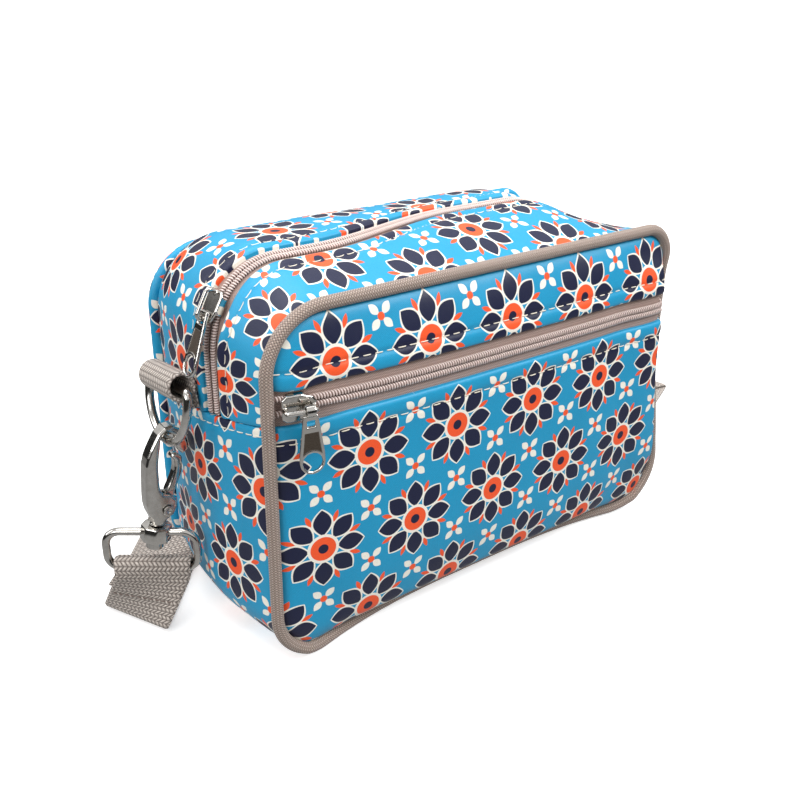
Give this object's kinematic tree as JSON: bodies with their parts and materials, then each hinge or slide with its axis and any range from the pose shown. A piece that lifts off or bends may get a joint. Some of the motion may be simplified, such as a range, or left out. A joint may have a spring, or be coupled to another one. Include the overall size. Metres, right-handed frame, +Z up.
{
  "type": "handlebar bag",
  "caption": "Small box-shaped zip bag with a zipped front pocket, corded edges, and a webbing strap clipped to rings at both sides",
  "frame": {"origin": "on the floor plane, in the middle of the base", "axes": "+X to the bag's right seen from the front, +Y to the back, +Z up"},
  "size_m": [0.3201, 0.1414, 0.132],
  "materials": {
    "printed_cloth": "coated cotton with a low sheen, printed all over in blue, navy, cream and orange",
    "piping": "braided taupe cord",
    "webbing": "twill-woven taupe webbing",
    "zip": "taupe tape with a nylon coil",
    "metal": "polished nickel"
  },
  "bodies": {
    "bag": {"front_upper_panel": "printed_cloth", "front_pocket_panel": "printed_cloth", "back_panel": "printed_cloth", "top_front_strip": "printed_cloth", "top_back_strip": "printed_cloth", "bottom_gusset": "printed_cloth", "front_piping": "piping", "back_piping": "piping", "front_zip": "zip", "top_zip": "zip", "strap": "webbing", "front_slider": "metal", "top_slider": "metal", "left_tab": "webbing", "left_d_ring": "metal", "left_base_ring": "metal", "right_tab": "webbing", "right_d_ring": "metal", "right_base_ring": "metal"},
    "front_pull": {"front_pull": "metal"},
    "top_pull": {"top_pull": "metal"},
    "left_clip": {"left_hook": "metal", "left_rivet": "metal"},
    "left_gate": {"left_gate": "metal"},
    "right_clip": {"right_hook": "metal", "right_rivet": "metal"},
    "right_gate": {"right_gate": "metal"}
  },
  "joints": [
    {"name": "front_pull_swing", "type": "hinge", "parent": "bag", "child": "front_pull", "pos_m": [-0.07938, -0.04706, 0.09363], "axis": [-0.9792, 0.2029, 0], "range_deg": [0, 150]},
    {"name": "top_pull_swing", "type": "hinge", "parent": "bag", "child": "top_pull", "pos_m": [-0.09376, -0.01248, 0.11659], "axis": [0, 1, 0], "range_deg": [0, 130]},
    {"name": "left_clip_swivel", "type": "hinge", "parent": "bag", "child": "left_clip", "pos_m": [-0.1104, 0.00652, 0.0366], "axis": [0.2079, 0, 0.9781], "range_deg": [-8, 8]},
    {"name": "left_gate_hinge", "type": "hinge", "parent": "left_clip", "child": "left_gate", "pos_m": [-0.1063, 0.00652, 0.04483], "axis": [0, -1, 0], "range_deg": [0, 12], "stiffness_Nm_per_rad": 0.01, "springref_deg": -17.19},
    {"name": "right_clip_swivel", "type": "hinge", "parent": "bag", "child": "right_clip", "pos_m": [0.10365, 0.00652, 0.0366], "axis": [-0.2079, 0, 0.9781], "range_deg": [-8, 8]},
    {"name": "right_gate_hinge", "type": "hinge", "parent": "right_clip", "child": "right_gate", "pos_m": [0.09955, 0.00652, 0.04483], "axis": [0, 1, 0], "range_deg": [0, 12], "stiffness_Nm_per_rad": 0.01, "springref_deg": -17.19}
  ]
}
